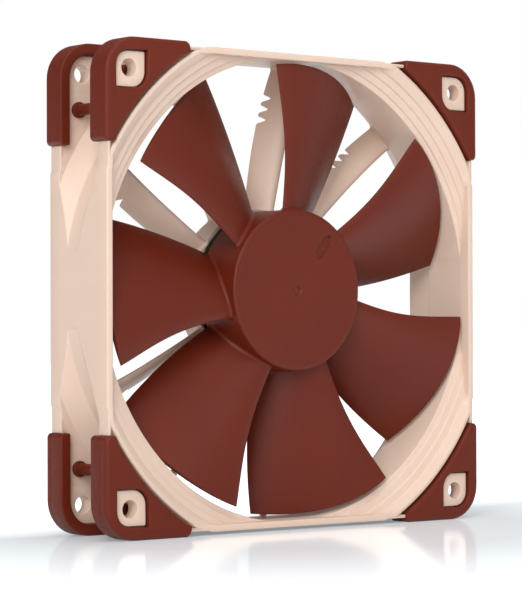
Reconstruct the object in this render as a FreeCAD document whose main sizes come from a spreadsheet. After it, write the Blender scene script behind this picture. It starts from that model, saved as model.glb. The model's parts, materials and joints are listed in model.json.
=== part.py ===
import FreeCAD, Part
import math
import os
import Sketcher
from FreeCAD import Placement, Rotation, Vector

# Square axial case fan, 120 mm class.  The fan axis is Y and the intake faces -Y.
# The origin is the centre of the fan, +Z is up and all sizes are in millimetres.

doc = FreeCAD.newDocument("CaseFan")

# ---------------------------------------------------------------- driving sizes
sheet = doc.addObject("Spreadsheet::Sheet", "Size")

DIMENSIONS = [
    # square frame
    ("frame_half", 59.2, "half width of the moulded frame"),
    ("frame_front", 12.2, "rim plane, each side of the middle"),
    ("flange_inner", 8.0, "inner face of the corner flanges"),
    ("flange_cut", 10.6, "flange face under a corner pad"),
    ("flange_half", 57.2, "half width of the flange under a pad"),
    ("flange_corner", 6.0, "corner radius of the flange"),
    ("duct_bore", 58.2, "inner radius of the air duct"),
    ("duct_outside", 60.0, "outer radius of the air duct"),
    ("mouth_half", 57.6, "half width of the square inlet mouth"),
    ("exit_half", 58.3, "half width of the square outlet"),
    ("exit_radius", 63.0, "outlet flare radius in the corners"),
    ("exit_start", 4.0, "where the outlet flare begins"),
    ("ring_radius", 66.6, "outer radius of the stepped inlet ring"),
    ("step_count", 4, "steps of the stepped inlet"),
    ("step_first", 59.7, "radius of the first riser"),
    ("step_pitch", 1.95, "radial pitch of the risers"),
    ("throat_front", 9.2, "front end of the plain duct bore"),
    ("strip_half", 58.0, "inside of the side strip past a pad end"),
    ("pocket_end", 32.0, "inner end of the pocket past a pad end"),
    ("recess_start", 28.3, "where the side recess beside a pad begins"),
    ("recess_depth", 0.35, "depth of that recess"),
    # corner mounting points
    ("hole_half", 52.5, "half of the screw hole pitch"),
    ("hole_radius", 2.15, "screw hole radius"),
    ("boss_half", 4.3, "half size of the leaf shaped boss"),
    ("boss_round", 3.8, "radius of its two round corners"),
    ("boss_shift", 0.25, "offset of the leaf towards the middle"),
    ("boss_face", 11.85, "face of the boss"),
    # corner pads
    ("pad_half", 60.0, "half width over the pads"),
    ("pad_face", 13.05, "outer face of a pad"),
    ("pad_inner", 6.1, "inner edge of the pad wall"),
    ("pad_end", 34.9, "end of a pad leg"),
    ("pad_ring", 67.2, "radius of the hollow side of a pad"),
    ("pad_corner", 8.8, "outer corner radius of a pad"),
    ("window_half", 4.6, "half size of the pad window"),
    ("window_round", 4.1, "radius of its two round corners"),
    ("peg_far", 53.6, "peg position along one side"),
    ("peg_near", 43.7, "peg position along the other side"),
    ("peg_radius", 1.4, "peg radius"),
    ("collar_radius", 1.98, "peg collar radius"),
    ("collar_height", 0.9, "peg collar height"),
    ("peg_tip", 1.2, "distance of the peg tip from the middle"),
    # rotor
    ("hub_radius", 20.3, "hub radius"),
    ("hub_front", 10.9, "front face of the hub"),
    ("hub_rear", 3.0, "rear edge of the hub"),
    ("hub_wall", 1.5, "hub wall"),
    ("hub_round", 1.5, "front edge radius of the hub"),
    ("slot_radius", 13.9, "distance of the recessed slot from the axis"),
    ("slot_length", 6.8, "length of the slot"),
    ("slot_width", 2.8, "width of the slot"),
    ("slot_angle", 52.0, "angle of the slot"),
    ("slot_depth", 0.6, "depth of the slot"),
    ("dimple_radius", 1.4, "radius of the centre dimple"),
    ("dimple_depth", 0.35, "depth of the centre dimple"),
    ("blade_count", 7, "number of blades"),
    ("blade_tip", 56.9, "tip radius"),
    ("blade_base", 20.0, "radius where the blade curves start"),
    ("blade_span", 36.0, "radial length of the blade curves"),
    ("lead_root", 148.9, "leading edge angle at the root"),
    ("lead_inner", 142.1, "leading edge control angle, inner"),
    ("lead_outer", 146.3, "leading edge control angle, outer"),
    ("lead_tip", 147.5, "leading edge angle at the tip"),
    ("trail_root", 103.7, "trailing edge angle at the root"),
    ("trail_tip", 110.3, "trailing edge angle at the tip"),
    ("lead_depth_root", -8.1, "leading edge depth at the root"),
    ("lead_depth_mid", -8.6, "leading edge control depth"),
    ("lead_depth_tip", -9.9, "leading edge depth at the tip"),
    ("trail_depth_root", 1.8, "trailing edge depth at the root"),
    ("trail_depth_mid", 2.9, "trailing edge control depth"),
    ("trail_depth_tip", 1.8, "trailing edge depth at the tip"),
    ("blade_camber_root", -2.0, "bow of the blade at the root"),
    ("blade_camber_tip", -3.2, "bow of the blade at the tip"),
    ("blade_thick_root", 2.3, "blade thickness at the root"),
    ("blade_thick_tip", 1.5, "blade thickness at the tip"),
    ("blade_edge", 0.6, "trailing edge thickness"),
    # guide vanes
    ("vane_rear", 12.0, "rear edge of the guide vanes"),
    ("vane_front_root", 5.0, "front edge of the guide vanes at the base"),
    ("vane_front_tip", 5.4, "front edge of the guide vanes at the duct"),
    ("vane_sweep", 4.1, "sweep of a vane, degrees"),
    ("vane_curve", 2.3, "extra sweep towards the duct, degrees"),
    ("vane_lean_root", 10.1, "angle between the two vane edges at the base"),
    ("vane_lean_tip", 5.0, "angle between the two vane edges at the duct"),
    ("vane_camber", -0.8, "bow of a vane"),
    ("vane_thick", 1.3, "vane thickness"),
    ("vane_edge", 0.8, "thickness of the rear edge"),
    ("notch_count", 3, "notches in the rear edge of a vane"),
    ("notch_first", 44.9, "radius of the first notch"),
    ("notch_pitch", 2.95, "pitch of the notches"),
    ("notch_depth", 2.6, "depth of a notch"),
    ("notch_half", 1.05, "half width of a notch at the edge"),
    # motor
    ("base_radius", 20.8, "motor base radius"),
    ("base_bore", 18.3, "inner radius of the motor base wall"),
    ("base_front", 5.0, "front edge of the motor base"),
    ("base_floor", 10.4, "inner face of the motor base floor"),
    ("base_rear", 12.0, "rear face of the motor base"),
    ("base_boss", 6.0, "radius of the boss around the bearing tube"),
    ("label_radius", 19.0, "radius of the blank rear disc"),
    ("label_depth", 0.3, "thickness of the rear disc"),
    ("tube_radius", 4.5, "outer radius of the bearing tube"),
    ("tube_bore", 3.5, "inner radius of the bearing tube"),
    ("tube_front", -5.8, "front end of the bearing tube"),
    ("sleeve_rear", 7.0, "rear end of the bearing sleeve"),
    ("seal_height", 0.6, "height of the oil seal"),
    ("shaft_radius", 1.5, "shaft radius"),
    ("shaft_play", 0.02, "running clearance on the shaft"),
    ("shaft_rear", 9.2, "rear end of the shaft"),
    ("bush_radius", 3.0, "radius of the brass bush on the shaft"),
    ("bush_rear", -6.8, "rear end of the bush"),
    ("yoke_wall", 1.0, "wall of the steel rotor cup"),
    ("yoke_rear", 2.4, "rear end of the rotor cup"),
    ("magnet_bore", 15.7, "inner radius of the magnet ring"),
    ("magnet_front", -6.5, "front end of the magnet ring"),
    ("core_front", -4.2, "front face of the stator core"),
    ("core_rear", 1.2, "rear face of the stator core"),
    ("core_radius", 15.2, "pole face radius"),
    ("core_shoe", 13.2, "inner radius of a pole shoe"),
    ("core_ring", 7.0, "outer radius of the core's inner ring"),
    ("pole_count", 4, "stator poles"),
    ("pole_half", 2.4, "half width of a pole tooth"),
    ("shoe_angle", 37.0, "half angle of a pole shoe"),
    ("frame_sheet", 0.8, "thickness of the winding insulators"),
    ("coil_front", -6.4, "front side of a winding"),
    ("coil_rear", 3.4, "rear side of a winding"),
    ("coil_half", 4.6, "half width of a winding"),
    ("coil_inner", 7.7, "inner end of a winding"),
    ("coil_outer", 12.2, "outer end of a winding"),
    ("board_radius", 20.0, "circuit board radius"),
    ("board_bore", 6.3, "circuit board centre hole"),
    ("board_front", 4.0, "front face of the circuit board"),
    ("clip_front", 7.6, "front face of the retaining clip"),
    ("clip_height", 0.4, "thickness of the retaining clip"),
    ("clip_radius", 2.6, "radius of the retaining clip"),
    ("groove_radius", 1.15, "radius of the shaft in the clip groove"),
    ("thrust_front", 9.3, "front face of the thrust cap"),
    ("outlet_width", 4.2, "width of the cable outlet in the motor base"),
    ("outlet_angle", 234.0, "angle of the cable outlet"),
]

for row, (alias, value, note) in enumerate(DIMENSIONS, start=1):
    sheet.set("A%d" % row, note)
    sheet.set("B%d" % row, repr(value))
    sheet.setAlias("B%d" % row, alias)

# Unequal spacing of the guide vanes around the duct, in degrees from +X towards +Z.
VANE_ANGLES = [52.0, 86.5, 120.0, 154.5, 186.0, 217.5, 249.5, 282.5, 315.0, 348.0, 20.0]
for index, angle in enumerate(VANE_ANGLES):
    row = len(DIMENSIONS) + 1 + index
    sheet.set("A%d" % row, "angle of guide vane %d" % (index + 1))
    sheet.set("B%d" % row, repr(angle))
    sheet.setAlias("B%d" % row, "vane_angle_%d" % (index + 1))
doc.recompute()

parts = []


def size(alias):
    """Number held by one cell."""
    return float(sheet.get(alias))


def value(expression):
    """Number an expression of cells stands for."""
    return float(sheet.evalExpression(expression.replace("Size.", "")))


def finish(item, label):
    """Name a finished piece and put it on the list of pieces."""
    item.Label = label
    parts.append(item)
    return item


# ---------------------------------------------------------------- Part helpers
def box(name, low, high):
    """Box between two corners, each given as three expressions."""
    item = doc.addObject("Part::Box", name)
    item.setExpression("Length", "(%s) - (%s)" % (high[0], low[0]))
    item.setExpression("Width", "(%s) - (%s)" % (high[1], low[1]))
    item.setExpression("Height", "(%s) - (%s)" % (high[2], low[2]))
    item.setExpression("Placement.Base.x", low[0])
    item.setExpression("Placement.Base.y", low[1])
    item.setExpression("Placement.Base.z", low[2])
    return item


def drum(name, radius, start, end, across="0", up="0"):
    """Cylinder along Y from start to end."""
    item = doc.addObject("Part::Cylinder", name)
    item.Placement = Placement(Vector(0, 0, 0), Rotation(Vector(1, 0, 0), -90))
    item.setExpression("Radius", radius)
    item.setExpression("Height", "(%s) - (%s)" % (end, start))
    item.setExpression("Placement.Base.x", across)
    item.setExpression("Placement.Base.y", start)
    item.setExpression("Placement.Base.z", up)
    return item


def fuse(name, items):
    item = doc.addObject("Part::MultiFuse", name)
    item.Shapes = items
    return item


def common(name, items):
    item = doc.addObject("Part::MultiCommon", name)
    item.Shapes = items
    return item


def cut(name, base, tool):
    item = doc.addObject("Part::Cut", name)
    item.Base = base
    item.Tool = tool
    return item


# ---------------------------------------------------------------- sketch helpers
def plane_of(body, role):
    """Origin plane of a body, found by its role."""
    for feature in body.Origin.OriginFeatures:
        if feature.Role == role:
            return feature


def draw_outline(sketch, corners):
    """Closed straight outline whose corners are bound to the sheet."""
    count = len(corners)
    points = [Vector(value(a), value(b), 0) for a, b in corners]
    for i in range(count):
        sketch.addGeometry(Part.LineSegment(points[i], points[(i + 1) % count]), False)
    for i in range(count):
        sketch.addConstraint(Sketcher.Constraint("Coincident", i, 2, (i + 1) % count, 1))
    for i, (across, along) in enumerate(corners):
        number = sketch.addConstraint(Sketcher.Constraint("DistanceX", -1, 1, i, 1, points[i].x))
        sketch.setExpression("Constraints[%d]" % number, across)
        number = sketch.addConstraint(Sketcher.Constraint("DistanceY", -1, 1, i, 1, points[i].y))
        sketch.setExpression("Constraints[%d]" % number, along)


def draw_circle(sketch, radius):
    """Circle about the sketch origin."""
    number = sketch.addGeometry(Part.Circle(Vector(0, 0, 0), Vector(0, 0, 1), value(radius)), False)
    sketch.addConstraint(Sketcher.Constraint("Coincident", number, 3, -1, 1))
    bound = sketch.addConstraint(Sketcher.Constraint("Radius", number, value(radius)))
    sketch.setExpression("Constraints[%d]" % bound, radius)


def new_sketch(body, name, role):
    sketch = body.newObject("Sketcher::SketchObject", name)
    sketch.AttachmentSupport = [(plane_of(body, role), "")]
    sketch.MapMode = "FlatFace"
    return sketch


def turned(name, label, corners):
    """Body turned about the fan axis from a radius and depth outline."""
    body = doc.addObject("PartDesign::Body", name)
    sketch = new_sketch(body, name + "Profile", "XY_Plane")
    draw_outline(sketch, corners)
    turn = body.newObject("PartDesign::Revolution", name + "Turn")
    turn.Profile = sketch
    turn.ReferenceAxis = (sketch, ["V_Axis"])
    turn.Angle = 360.0
    doc.recompute()
    if label:
        finish(body, label)
    return body


def ring(name, label, inner, outer, start, end):
    """Plain ring or disc about the fan axis."""
    corners = [(inner, start), (outer, start), (outer, end), (inner, end)]
    return turned(name, label, corners)


# ---------------------------------------------------------------- frame
front = "Size.frame_front"
blank = box("FrameBlock", ("-Size.frame_half", "-" + front, "-Size.frame_half"),
            ("Size.frame_half", front, "Size.frame_half"))

bore = drum("DuctBore", "Size.duct_bore", "-Size.frame_front - 1", "Size.frame_front + 1")

# Stepped inlet: four shallow treads that fall towards the duct, each with a short riser.
step_rise = "(Size.frame_front - Size.throat_front) / Size.step_count"
inlet = [("0", "-Size.frame_front - 1"), ("Size.ring_radius - 1", "-Size.frame_front - 1"),
         ("Size.ring_radius - 1", "-Size.frame_front")]
for number in range(int(size("step_count")) - 1, -1, -1):
    radius = "Size.step_first + %d * Size.step_pitch" % number
    depth = "-Size.throat_front - %d * %s" % (number, step_rise)
    if number < int(size("step_count")) - 1:
        inlet.append((radius + " + 0.12", depth + " - 0.55 * " + step_rise))
        inlet.append((radius + " - 0.12", depth))
inlet.append(("Size.duct_bore", "-Size.throat_front + 0.3"))
inlet.append(("0", "-Size.throat_front + 0.3"))
steps = turned("InletSteps", "", inlet)
mouth = box("InletSquare", ("-Size.mouth_half", "-Size.frame_front - 1", "-Size.mouth_half"),
            ("Size.mouth_half", "0", "Size.mouth_half"))
inlet_cut = common("InletCut", [steps, mouth])

flare = turned("OutletFlare", "", [
    ("0", "Size.exit_start"),
    ("Size.duct_bore", "Size.exit_start"),
    ("Size.exit_radius", "Size.frame_front"),
    ("Size.exit_radius", "Size.frame_front + 1"),
    ("0", "Size.frame_front + 1")])
outlet = box("OutletSquare", ("-Size.exit_half", "0", "-Size.exit_half"),
             ("Size.exit_half", "Size.frame_front + 1", "Size.exit_half"))
outlet_cut = common("OutletCut", [flare, outlet])

# Open space around the duct between the two flanges, with a flare under each flange.
waist = turned("Waist", "", [
    ("Size.duct_outside", "0"),
    ("Size.duct_outside + 1.75", "-0.38 * Size.flange_inner"),
    ("Size.duct_outside + 3.4", "-0.69 * Size.flange_inner"),
    ("Size.duct_outside + 6", "-Size.flange_inner"),
    ("Size.frame_half * 1.6", "-Size.flange_inner"),
    ("Size.frame_half * 1.6", "Size.flange_inner"),
    ("Size.duct_outside + 4.4", "Size.flange_inner"),
    ("Size.duct_outside", "0.55 * Size.flange_inner")])

hollows = [bore, inlet_cut, outlet_cut, waist]


def leaf(name, centre_x, centre_z, half, radius, turn, start, end):
    """Square post along Y with two opposite corners rounded, on the fan's diagonal."""
    post = box(name + "Block", ("-(%s)" % half, start, "-(%s)" % half), (half, end, half))
    doc.recompute()
    edges = []
    for i, edge in enumerate(post.Shape.Edges, start=1):
        middle = edge.CenterOfMass
        on_diagonal = turn * middle.x * middle.z > 1.0
        if on_diagonal and abs(middle.x) > 1.0 and abs(edge.tangentAt(edge.FirstParameter).y) > 0.9:
            edges.append((i, value(radius), value(radius)))
    rounded = doc.addObject("Part::Fillet", name)
    rounded.Base = post
    rounded.Edges = edges
    rounded.setExpression("Placement.Base.x", centre_x)
    rounded.setExpression("Placement.Base.z", centre_z)
    return rounded


def rounded_square(name, half, radius, start, end):
    """Square post along Y with its four long edges rounded."""
    post = box(name + "Block", ("-(%s)" % half, start, "-(%s)" % half), (half, end, half))
    doc.recompute()
    edges = []
    for i, edge in enumerate(post.Shape.Edges, start=1):
        if abs(edge.tangentAt(edge.FirstParameter).y) > 0.9:
            edges.append((i, value(radius), value(radius)))
    rounded = doc.addObject("Part::Fillet", name)
    rounded.Base = post
    rounded.Edges = edges
    return rounded


SIDES = [("front", -1), ("rear", 1)]
CORNERS = [("upper_left", -1, 1), ("upper_right", 1, 1), ("lower_right", 1, -1), ("lower_left", -1, -1)]


def span(side, near, far):
    """Depth range from near to far on one side of the fan, low value first."""
    if side < 0:
        return "-(%s)" % far, "-(%s)" % near
    return near, far


def reach(sign, near, far):
    """Range from near to far along one direction, low value first."""
    if sign < 0:
        return "-(%s)" % far, "-(%s)" % near
    return near, far


# Flange corners are lowered under the pads.  The full ring and two side strips stay.
for side_name, side in SIDES:
    low, high = span(side, "Size.flange_cut", "Size.frame_front + 1")
    wall_low, wall_high = span(side, "Size.flange_inner - 1", "Size.frame_front + 1")
    keep_ring = drum("RingKeep_" + side_name, "Size.ring_radius", low, high)
    flange = rounded_square("FlangeKeep_" + side_name, "Size.flange_half", "Size.flange_corner",
                            wall_low, wall_high)
    for corner_name, sx, sz in CORNERS:
        tag = side_name + "_" + corner_name
        x0, x1 = reach(sx, "Size.pocket_end", "Size.pad_half + 1")
        z0, z1 = reach(sz, "Size.pocket_end", "Size.pad_half + 1")
        px0, px1 = reach(sx, "Size.pad_end", "Size.pad_half + 1")
        pz0, pz1 = reach(sz, "Size.pad_end", "Size.pad_half + 1")
        qx0, qx1 = reach(sx, "Size.pocket_end", "Size.strip_half")
        qz0, qz1 = reach(sz, "Size.pocket_end", "Size.strip_half")
        square = fuse("Lowered_" + tag, [
            box("LoweredCorner_" + tag, (px0, low, pz0), (px1, high, pz1)),
            box("LoweredPocket_" + tag, (qx0, low, qz0), (qx1, high, qz1))])
        leaf_x = "%d * (Size.hole_half - Size.boss_shift)" % sx
        leaf_z = "%d * (Size.hole_half - Size.boss_shift)" % sz
        boss_low, boss_high = span(side, "Size.flange_cut - 1", "Size.boss_face")
        boss = leaf("Boss_" + tag, leaf_x, leaf_z, "Size.boss_half", "Size.boss_round", sx * sz,
                    boss_low, boss_high)
        keep = fuse("Keep_" + tag, [keep_ring, boss])
        hollows.append(cut("Lowering_" + tag, square, keep))
        trim = box("TrimBlock_" + tag, (px0, wall_low, pz0), (px1, wall_high, pz1))
        hollows.append(cut("Trim_" + tag, trim, flange))
        hole_low, hole_high = span(side, "Size.flange_inner - 1", "Size.frame_front + 1")
        hollows.append(drum("Hole_" + tag, "Size.hole_radius", hole_low, hole_high,
                            "%d * Size.hole_half" % sx, "%d * Size.hole_half" % sz))
        for peg, (a, b) in enumerate((("peg_far", "peg_near"), ("peg_near", "peg_far"))):
            hollows.append(drum("PegHole%d_%s" % (peg, tag), "Size.peg_radius", hole_low, hole_high,
                                "%d * Size.%s" % (sx, a), "%d * Size.%s" % (sz, b)))

# Shallow recess on the outer sides beside each pad.
for index in range(4):
    for sign in (-1, 1):
        low, high = reach(sign, "Size.recess_start", "Size.pad_end + 3")
        out_low, out_high = "Size.frame_half - Size.recess_depth", "Size.frame_half + 1"
        if index in (0, 2):
            a, b = reach(1 - index, out_low, out_high)
            hollow = box("SideRecess%d%d" % (index, sign + 1), (a, "-Size.frame_front - 1", low),
                         (b, "Size.frame_front + 1", high))
        else:
            a, b = reach(2 - index, out_low, out_high)
            hollow = box("SideRecess%d%d" % (index, sign + 1), (low, "-Size.frame_front - 1", a),
                         (high, "Size.frame_front + 1", b))
        hollows.append(hollow)

frame = cut("Frame", blank, fuse("FrameHollows", hollows))
finish(frame, "frame")

# ---------------------------------------------------------------- corner pads
for side_name, side in SIDES:
    plate_low, plate_high = span(side, "Size.flange_cut", "Size.pad_face")
    whole_low, whole_high = span(side, "Size.pad_inner", "Size.pad_face")
    outer = rounded_square("PadOutline_" + side_name, "Size.pad_half", "Size.pad_corner",
                           whole_low, whole_high)
    inner_low, inner_high = span(side, "Size.pad_inner - 1", "Size.flange_cut")
    inside = rounded_square("PadInside_" + side_name, "Size.flange_half", "Size.flange_corner",
                            inner_low, inner_high)
    hollow_side = drum("PadHollow_" + side_name, "Size.pad_ring", "-Size.pad_face - 1", "Size.pad_face + 1")
    for corner_name, sx, sz in CORNERS:
        tag = side_name + "_" + corner_name
        px0, px1 = reach(sx, "Size.pad_end", "Size.pad_half + 1")
        pz0, pz1 = reach(sz, "Size.pad_end", "Size.pad_half + 1")
        corner = box("PadCorner_" + tag, (px0, whole_low, pz0), (px1, whole_high, pz1))
        body = common("PadBlock_" + tag, [outer, corner])
        leaf_x = "%d * (Size.hole_half - Size.boss_shift)" % sx
        leaf_z = "%d * (Size.hole_half - Size.boss_shift)" % sz
        window = leaf("Window_" + tag, leaf_x, leaf_z, "Size.window_half", "Size.window_round", sx * sz,
                      plate_low, plate_high)
        shell = cut("PadShell_" + tag, body, fuse("PadVoid_" + tag, [inside, hollow_side, window]))
        pieces = [shell]
        for peg, (a, b) in enumerate((("peg_far", "peg_near"), ("peg_near", "peg_far"))):
            x = "%d * Size.%s" % (sx, a)
            z = "%d * Size.%s" % (sz, b)
            rod_low, rod_high = span(side, "Size.peg_tip", "Size.flange_cut + 0.5")
            collar_low, collar_high = span(side, "Size.flange_inner - Size.collar_height", "Size.flange_inner")
            pieces.append(drum("Peg%d_%s" % (peg, tag), "Size.peg_radius", rod_low, rod_high, x, z))
            pieces.append(drum("Collar%d_%s" % (peg, tag), "Size.collar_radius", collar_low, collar_high, x, z))
        finish(fuse("Pad_" + tag, pieces), "pad_" + tag)

# ---------------------------------------------------------------- motor base and bearing
base = turned("MotorBase", "", [
    ("Size.base_bore", "Size.base_front"),
    ("Size.base_radius", "Size.base_front"),
    ("Size.base_radius", "Size.base_rear"),
    ("Size.label_radius", "Size.base_rear"),
    ("Size.label_radius", "Size.base_rear - Size.label_depth"),
    ("0", "Size.base_rear - Size.label_depth"),
    ("0", "Size.base_floor"),
    ("Size.tube_radius", "Size.base_floor"),
    ("Size.tube_radius", "Size.core_rear + Size.frame_sheet"),
    ("Size.base_boss", "Size.core_rear + Size.frame_sheet"),
    ("Size.base_boss", "Size.base_floor"),
    ("Size.base_bore", "Size.base_floor")])
outlet_block = box("CableOutlet", ("Size.base_bore - 1", "Size.base_front + 2.2", "-Size.outlet_width / 2"),
                   ("Size.base_radius + 1", "Size.base_floor", "Size.outlet_width / 2"))
outlet_turn = Placement(Vector(0, 0, 0), Rotation(Vector(0, 1, 0), -size("outlet_angle")))
doc.recompute()
outlet_tool = doc.addObject("Part::Feature", "CableOutletTurned")
outlet_tool.Shape = outlet_block.Shape.transformGeometry(outlet_turn.toMatrix())
finish(cut("MotorBaseCut", base, outlet_tool), "motor_base")

ring("RearDisc", "rear_disc", "0", "Size.label_radius", "Size.base_rear - Size.label_depth", "Size.base_rear")
ring("BearingTube", "bearing_tube", "Size.tube_bore", "Size.tube_radius", "Size.tube_front", "Size.base_floor")
ring("OilSeal", "oil_seal", "Size.shaft_radius + 0.1", "Size.tube_bore", "Size.tube_front",
     "Size.tube_front + Size.seal_height")
ring("BearingSleeve", "bearing_sleeve", "Size.shaft_radius + Size.shaft_play", "Size.tube_bore",
     "Size.tube_front + Size.seal_height", "Size.sleeve_rear")
ring("ThrustCap", "thrust_cap", "0", "Size.tube_bore", "Size.thrust_front", "Size.base_floor")

# ---------------------------------------------------------------- stator
def pole_arm(name, start, end, half, inner, outer, angle):
    """Radial bar from the inner to the outer radius, turned about the fan axis."""
    bar = box(name, (inner, start, "-(%s)" % half), (outer, end, half))
    bar.setExpression("Placement.Base.x", None)
    bar.setExpression("Placement.Base.y", None)
    bar.setExpression("Placement.Base.z", None)
    turn = Rotation(Vector(0, 1, 0), -angle)
    corner = turn.multVec(Vector(value(inner), value(start), -value(half)))
    bar.Placement = Placement(corner, turn)
    return bar


pole_angles = [45.0 + 360.0 * i / size("pole_count") for i in range(int(size("pole_count")))]


def toothed_plate(name, label, start, end, outer):
    """Inner ring with one tooth per pole, ending at the given radius."""
    pieces = [ring(name + "Ring", "", "Size.tube_radius", "Size.core_ring", start, end)]
    for i, angle in enumerate(pole_angles):
        pieces.append(pole_arm("%sTooth%d" % (name, i), start, end, "Size.pole_half",
                               "Size.core_ring - 0.6", outer, angle))
    plate = fuse(name, pieces)
    if label:
        finish(plate, label)
    return plate


teeth = toothed_plate("CoreTeeth", "", "Size.core_front", "Size.core_rear", "Size.core_shoe + 0.6")
shoes = [teeth]
for i, angle in enumerate(pole_angles):
    shoe = doc.addObject("Part::Cylinder", "Shoe%d" % i)
    shoe.setExpression("Radius", "Size.core_radius")
    shoe.setExpression("Height", "Size.core_rear - Size.core_front")
    shoe.setExpression("Angle", "2 * Size.shoe_angle")
    lay = Placement(Vector(0, size("core_front"), 0), Rotation(Vector(1, 0, 0), -90))
    spin = Placement(Vector(0, 0, 0), Rotation(Vector(0, 1, 0), -(angle + size("shoe_angle"))))
    shoe.Placement = spin.multiply(lay)
    inner = drum("ShoeBore%d" % i, "Size.core_shoe", "Size.core_front - 1", "Size.core_rear + 1")
    shoes.append(cut("ShoeRing%d" % i, shoe, inner))
finish(fuse("StatorCore", shoes), "stator_core")
toothed_plate("InsulatorFront", "insulator_front", "Size.core_front - Size.frame_sheet", "Size.core_front",
              "Size.coil_outer + 0.5")
toothed_plate("InsulatorRear", "insulator_rear", "Size.core_rear", "Size.core_rear + Size.frame_sheet",
              "Size.coil_outer + 0.5")

for i, angle in enumerate(pole_angles):
    block = pole_arm("CoilBlock%d" % i, "Size.coil_front", "Size.coil_rear", "Size.coil_half",
                     "Size.coil_inner", "Size.coil_outer", angle)
    core_hole = pole_arm("CoilBore%d" % i, "Size.core_front - Size.frame_sheet",
                         "Size.core_rear + Size.frame_sheet", "Size.pole_half",
                         "Size.coil_inner - 1", "Size.coil_outer + 1", angle)
    finish(cut("Coil%d" % (i + 1), block, core_hole), "coil_%d" % (i + 1))

ring("CircuitBoard", "circuit_board", "Size.board_bore", "Size.board_radius", "Size.board_front", "Size.base_front")


def chip(name, label, radius, angle, length, width, start, end):
    """Small block on the circuit board at a radius and angle."""
    piece = box(name, ("-(%s) / 2" % length, start, "-(%s) / 2" % width),
                ("(%s) / 2" % length, end, "(%s) / 2" % width))
    for axis in ("x", "y", "z"):
        piece.setExpression("Placement.Base." + axis, None)
    turn = Rotation(Vector(0, 1, 0), -angle)
    corner = turn.multVec(Vector(radius - value(length) / 2, value(start), -value(width) / 2))
    piece.Placement = Placement(corner, turn)
    return finish(piece, label)


chip("DriverChip", "driver_chip", 12.5, 20.0, "4.0", "5.0", "Size.base_front", "Size.base_front + 1.4")
chip("HallSensor", "hall_sensor", 16.0, 90.0, "2.6", "1.6", "Size.board_front - 0.9", "Size.board_front")
chip("CapacitorOne", "capacitor_1", 13.0, 150.0, "2.0", "3.2", "Size.base_front", "Size.base_front + 1.6")
chip("CapacitorTwo", "capacitor_2", 13.0, 285.0, "2.0", "3.2", "Size.base_front", "Size.base_front + 1.6")

# ---------------------------------------------------------------- rotor
hub = turned("Hub", "", [
    ("0", "-Size.hub_front"),
    ("Size.hub_radius", "-Size.hub_front"),
    ("Size.hub_radius", "Size.hub_rear"),
    ("Size.hub_radius - Size.hub_wall", "Size.hub_rear"),
    ("Size.hub_radius - Size.hub_wall", "-Size.hub_front + Size.hub_wall"),
    ("0", "-Size.hub_front + Size.hub_wall")])
solid_hub = hub.Shape.Volume

dimple_sketch = new_sketch(hub, "DimpleCircle", "XZ_Plane")
draw_circle(dimple_sketch, "Size.dimple_radius")
dimple_sketch.setExpression(".AttachmentOffset.Base.z", "Size.hub_front")
dimple = hub.newObject("PartDesign::Pocket", "Dimple")
dimple.Profile = dimple_sketch
dimple.setExpression("Length", "Size.dimple_depth")
doc.recompute()

slot_sketch = new_sketch(hub, "SlotOutline", "XZ_Plane")
slot_half = size("slot_width") / 2
slot_reach = size("slot_length") / 2 - slot_half
slot_turn = math.radians(size("slot_angle"))
along = Vector(math.cos(slot_turn), math.sin(slot_turn), 0)
across = Vector(-math.sin(slot_turn), math.cos(slot_turn), 0)
near = along * (size("slot_radius") - slot_reach)
far = along * (size("slot_radius") + slot_reach)
slot_sketch.addGeometry(Part.LineSegment(near + across * slot_half, far + across * slot_half), False)
slot_sketch.addGeometry(Part.Arc(far + across * slot_half, far + along * slot_half, far - across * slot_half), False)
slot_sketch.addGeometry(Part.LineSegment(far - across * slot_half, near - across * slot_half), False)
slot_sketch.addGeometry(Part.Arc(near - across * slot_half, near - along * slot_half, near + across * slot_half), False)
slot_sketch.setExpression(".AttachmentOffset.Base.z", "Size.hub_front")
slot = hub.newObject("PartDesign::Pocket", "Slot")
slot.Profile = slot_sketch
slot.setExpression("Length", "Size.slot_depth")
doc.recompute()
if hub.Shape.Volume >= solid_hub - 5.0:
    raise RuntimeError("the dimple and slot were not cut")

rim_edges = []
for i, edge in enumerate(hub.Shape.Edges, start=1):
    if edge.Curve.TypeId != "Part::GeomCircle":
        continue
    at_front = abs(edge.Curve.Center.y + size("hub_front")) < 0.01
    if at_front and abs(edge.Curve.Radius - size("hub_radius")) < 0.01:
        rim_edges.append("Edge%d" % i)
rim = hub.newObject("PartDesign::Fillet", "HubRim")
rim.Base = (slot, rim_edges)
rim.setExpression("Radius", "Size.hub_round")
doc.recompute()
finish(hub, "hub_shell")

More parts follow.
